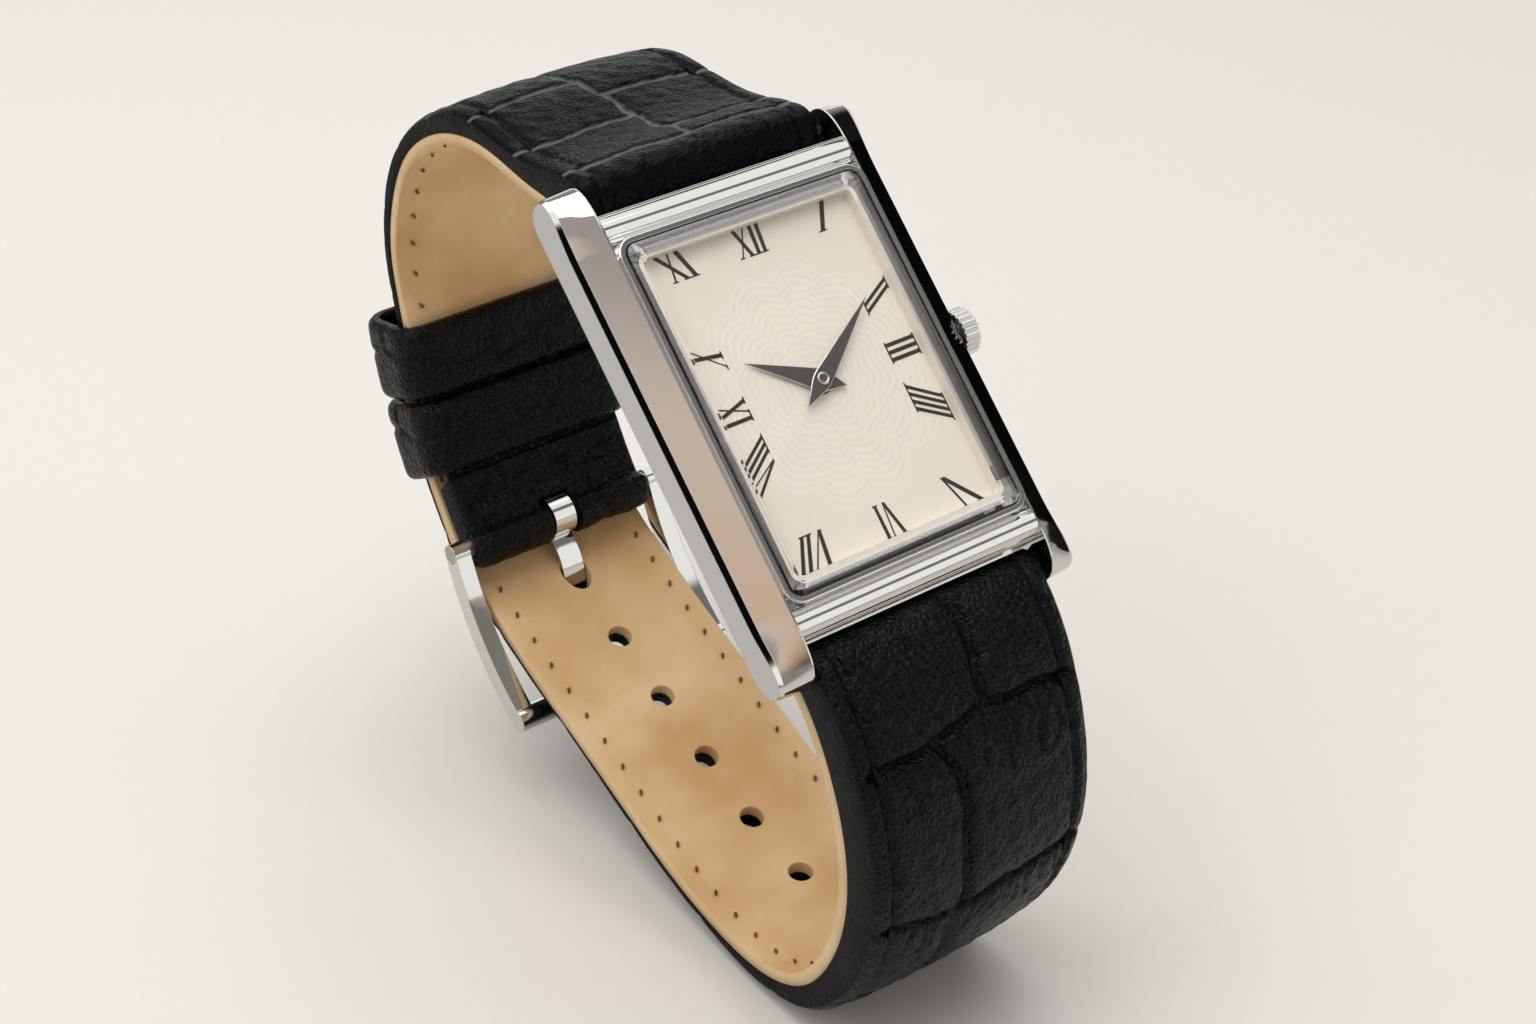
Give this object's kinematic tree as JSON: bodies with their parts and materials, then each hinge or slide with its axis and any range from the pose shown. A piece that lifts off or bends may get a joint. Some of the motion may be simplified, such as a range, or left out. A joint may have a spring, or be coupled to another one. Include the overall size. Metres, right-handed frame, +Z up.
{
  "type": "wrist watch",
  "caption": "Rectangular steel wrist watch with a Roman-numeral dial, two hands and a crown, on a buckled black scale-embossed leather strap.",
  "frame": {"origin": "middle of the wrist opening inside the closed strap", "axes": "+X from nine to three o'clock; +Z up; the dial looks towards -Y and up, leaning back 44 degrees from level"},
  "size_m": [0.0268, 0.0648, 0.0582],
  "materials": {
    "polished_steel": "mirror polished stainless steel",
    "brushed_steel": "satin stainless steel",
    "rubber": "black rubber",
    "gasket": "thin plastic ring",
    "crystal": "clear flat mineral glass",
    "dial": "ivory lacquer over an engraved wave pattern",
    "holder_plastic": "moulded plastic",
    "plated_brass": "plated brass",
    "wheel_brass": "bare brass",
    "pinion_steel": "plain steel",
    "copper_wire": "enamelled copper wire",
    "battery_steel": "nickel plated steel",
    "circuit_board": "circuit board",
    "dark_hand": "dark polished metal",
    "lining_leather": "tan smooth calf leather",
    "strap_leather": "black leather embossed in large scales"
  },
  "bodies": {
    "case": {"case": "polished_steel", "crown_tube": "brushed_steel", "case_back": "brushed_steel", "back_seal": "rubber", "crystal": "crystal", "crystal_gasket": "gasket", "dial": "dial", "dial_flange": "dial", "movement_holder": "holder_plastic", "main_plate": "plated_brass", "train_bridge": "plated_brass", "stator": "pinion_steel", "coil": "copper_wire", "battery": "battery_steel", "circuit_block": "circuit_board", "quartz_can": "battery_steel", "spring_bar_six": "brushed_steel", "spring_bar_twelve": "brushed_steel", "strap_six_lining": "lining_leather", "strap_six_leather": "strap_leather", "strap_twelve_lining": "lining_leather", "strap_twelve_leather": "strap_leather", "fixed_keeper": "strap_leather"},
    "minute": {"centre_wheel": "wheel_brass", "cannon_pinion": "pinion_steel", "minute_hand": "dark_hand"},
    "hour": {"hour_wheel": "wheel_brass", "hour_hand": "dark_hand"},
    "minute_wheel": {"minute_wheel": "wheel_brass"},
    "third_wheel": {"third_wheel": "wheel_brass"},
    "fifth_wheel": {"fifth_wheel": "wheel_brass"},
    "rotor": {"rotor": "pinion_steel"},
    "crown_seal": {"crown_seal": "rubber"},
    "crown": {"crown": "polished_steel", "stem": "pinion_steel"},
    "setting_lever": {"setting_lever": "pinion_steel"},
    "free_keeper": {"free_keeper": "strap_leather"},
    "buckle": {"buckle_frame": "polished_steel", "buckle_pin": "brushed_steel"},
    "tongue": {"buckle_tongue": "polished_steel"},
    "spring_tip_six_left": {"spring_tip_six_left": "brushed_steel"},
    "spring_tip_six_right": {"spring_tip_six_right": "brushed_steel"},
    "spring_tip_twelve_left": {"spring_tip_twelve_left": "brushed_steel"},
    "spring_tip_twelve_right": {"spring_tip_twelve_right": "brushed_steel"}
  },
  "joints": [
    {"name": "minute_turn", "type": "hinge", "parent": "case", "child": "minute", "pos_m": [0, -0.01387, 0.0158], "axis": [0, 0.6947, -0.7193], "continuous": true},
    {"name": "hour_turn", "type": "hinge", "parent": "case", "child": "hour", "pos_m": [0, -0.01387, 0.0158], "axis": [0, 0.6947, -0.7193], "continuous": true},
    {"name": "minute_wheel_turn", "type": "hinge", "parent": "case", "child": "minute_wheel", "pos_m": [0.00062, -0.01554, 0.01419], "axis": [0, 0.6947, -0.7193], "continuous": true},
    {"name": "third_wheel_turn", "type": "hinge", "parent": "case", "child": "third_wheel", "pos_m": [0.0012, -0.01237, 0.01724], "axis": [0, 0.6947, -0.7193], "continuous": true},
    {"name": "fifth_wheel_turn", "type": "hinge", "parent": "case", "child": "fifth_wheel", "pos_m": [0.00038, -0.01075, 0.01881], "axis": [0, 0.6947, -0.7193], "continuous": true},
    {"name": "rotor_turn", "type": "hinge", "parent": "case", "child": "rotor", "pos_m": [-0.00156, -0.00995, 0.01959], "axis": [0, 0.6947, -0.7193], "continuous": true},
    {"name": "crown_pull", "type": "slide", "parent": "case", "child": "crown_seal", "axis": [1, 0, 0], "range_m": [0, 0.0008]},
    {"name": "crown_turn", "type": "hinge", "parent": "crown_seal", "child": "crown", "pos_m": [0, -0.01274, 0.01464], "axis": [1, 0, 0], "continuous": true},
    {"name": "setting_lever_turn", "type": "hinge", "parent": "case", "child": "setting_lever", "pos_m": [0.00605, -0.01133, 0.016], "axis": [0, -0.6947, 0.7193], "range_deg": [0, 23.17]},
    {"name": "spring_tip_six_left_press", "type": "slide", "parent": "case", "child": "spring_tip_six_left", "axis": [1, 0, 0], "range_m": [0, 0.001], "stiffness_N_per_m": 400, "springref_m": -0.0005},
    {"name": "spring_tip_six_right_press", "type": "slide", "parent": "case", "child": "spring_tip_six_right", "axis": [-1, 0, 0], "range_m": [0, 0.001], "stiffness_N_per_m": 400, "springref_m": -0.0005},
    {"name": "spring_tip_twelve_left_press", "type": "slide", "parent": "case", "child": "spring_tip_twelve_left", "axis": [1, 0, 0], "range_m": [0, 0.001], "stiffness_N_per_m": 400, "springref_m": -0.0005},
    {"name": "spring_tip_twelve_right_press", "type": "slide", "parent": "case", "child": "spring_tip_twelve_right", "axis": [-1, 0, 0], "range_m": [0, 0.001], "stiffness_N_per_m": 400, "springref_m": -0.0005},
    {"name": "free_keeper_slide", "type": "hinge", "parent": "case", "child": "free_keeper", "pos_m": [0, -0.01187, 0.01301], "axis": [1, 0, 0], "range_deg": [-0.5, 4]},
    {"name": "buckle_swing", "type": "hinge", "parent": "case", "child": "buckle", "pos_m": [0, 0.01898, -0.01102], "axis": [1, 0, 0], "range_deg": [-1.2, 0]},
    {"name": "tongue_swing", "type": "hinge", "parent": "case", "child": "tongue", "pos_m": [0, 0.01898, -0.01102], "axis": [1, 0, 0], "range_deg": [0, 2]}
  ],
  "couplings": [
    {"joint": "hour_turn", "follows": "minute_turn", "ratio": 0.083333},
    {"joint": "minute_wheel_turn", "follows": "minute_turn", "ratio": -0.33333},
    {"joint": "third_wheel_turn", "follows": "minute_turn", "ratio": -3},
    {"joint": "fifth_wheel_turn", "follows": "minute_turn", "ratio": 15},
    {"joint": "rotor_turn", "follows": "minute_turn", "ratio": -90},
    {"joint": "setting_lever_turn", "follows": "crown_pull", "rad_per_m": 503.39}
  ]
}
